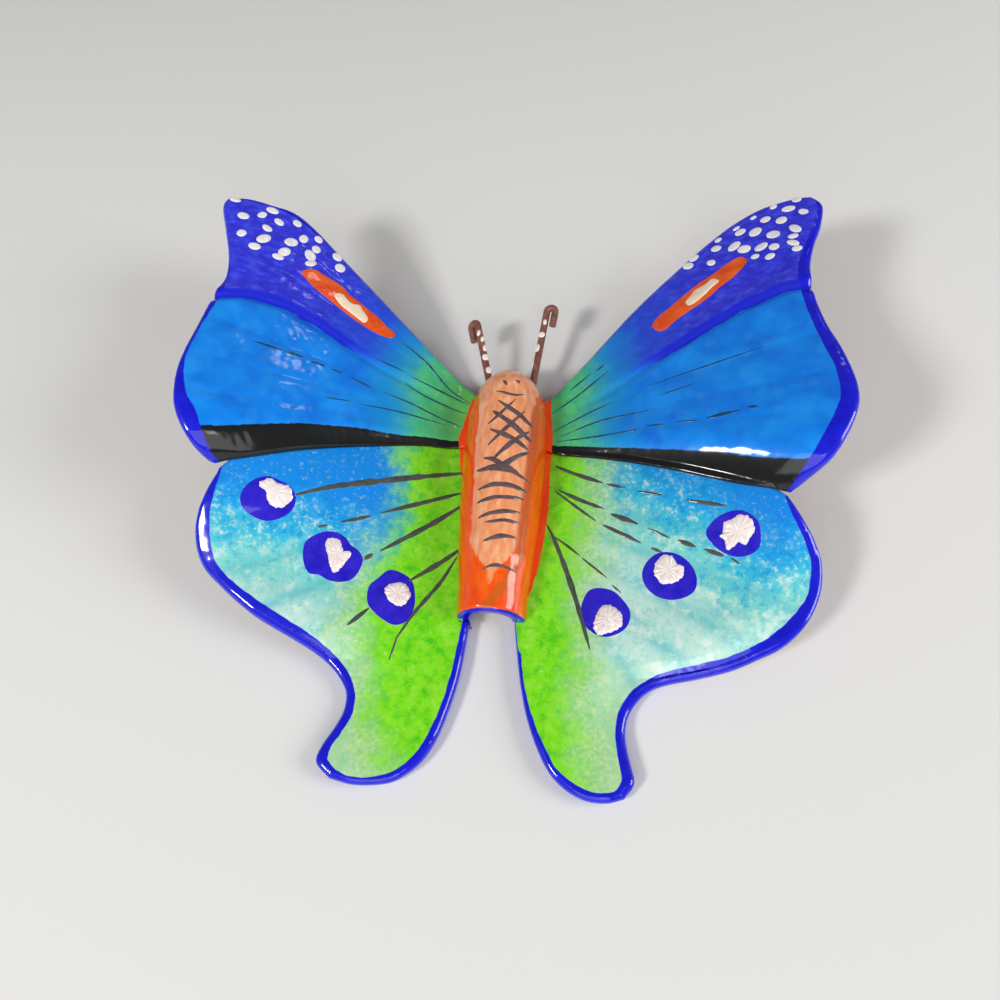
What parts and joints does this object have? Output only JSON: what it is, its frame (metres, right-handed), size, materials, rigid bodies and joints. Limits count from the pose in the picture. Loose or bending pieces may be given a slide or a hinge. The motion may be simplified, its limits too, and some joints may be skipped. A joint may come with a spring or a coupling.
{
  "type": "butterfly ornament",
  "caption": "Hand-painted fired-clay butterfly wall ornament with raised wings, a hollow body, bent wire antennae and a hanging wire at the back.",
  "frame": {"origin": "bottom centre of the whole: midway between the wing tips and between head-side and tail-side ends, on the surface that the wings rest on", "axes": "+Y towards the head, +X towards the right wing as seen from the painted side, +Z away from the wall or table"},
  "size_m": [0.1398, 0.13, 0.029],
  "materials": {
    "body_clay": "orange and salmon paint under gloss varnish",
    "wing_clay": "blue, green and violet paint under gloss varnish",
    "antenna_wire": "brown paint with off-white dots",
    "bare_wire": "drawn wire"
  },
  "bodies": {
    "root": {"body": "body_clay", "left_forewing": "wing_clay", "right_forewing": "wing_clay", "left_hindwing": "wing_clay", "right_hindwing": "wing_clay", "left_antenna": "antenna_wire", "right_antenna": "antenna_wire", "hanging_wire": "bare_wire"}
  },
  "joints": []
}
